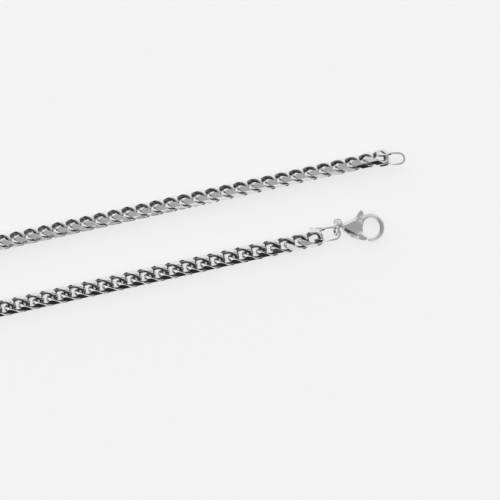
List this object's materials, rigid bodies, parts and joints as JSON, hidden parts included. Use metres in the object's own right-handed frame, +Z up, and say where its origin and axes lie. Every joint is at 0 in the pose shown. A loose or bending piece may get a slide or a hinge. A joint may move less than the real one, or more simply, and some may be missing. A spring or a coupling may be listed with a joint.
{
  "type": "franco chain necklace",
  "caption": "Square twisted-link neck chain with an end cap and loop at each end, one carrying a jump ring and a lobster clasp, lying unhooked.",
  "frame": {"origin": "middle of the box on the surface that the chain lies on", "axes": "+X along the two straight strands towards the free ends, +Y towards the strand with the plain loop, +Z up from the surface"},
  "size_m": [0.2234, 0.09, 0.004],
  "materials": {
    "chain_metal": "rhodium-plated silver, diamond-cut faces, mirror polish",
    "findings_metal": "rhodium-plated silver, polished",
    "clasp_metal": "rhodium-plated silver, cast and polished"
  },
  "bodies": {
    "necklace": {"chain_plain_half": "chain_metal", "chain_clasp_half": "chain_metal", "end_cap_plain": "findings_metal", "end_cap_clasp": "findings_metal", "jump_ring": "findings_metal", "clasp_body": "clasp_metal"},
    "lever": {"clasp_lever": "clasp_metal"}
  },
  "joints": [
    {"name": "lever_hinge", "type": "hinge", "parent": "necklace", "child": "lever", "pos_m": [0.09505, -0.00907, 0.0015], "axis": [0, 0, 1], "range_deg": [0, 25], "stiffness_Nm_per_rad": 0.002, "springref_deg": -5.73}
  ]
}
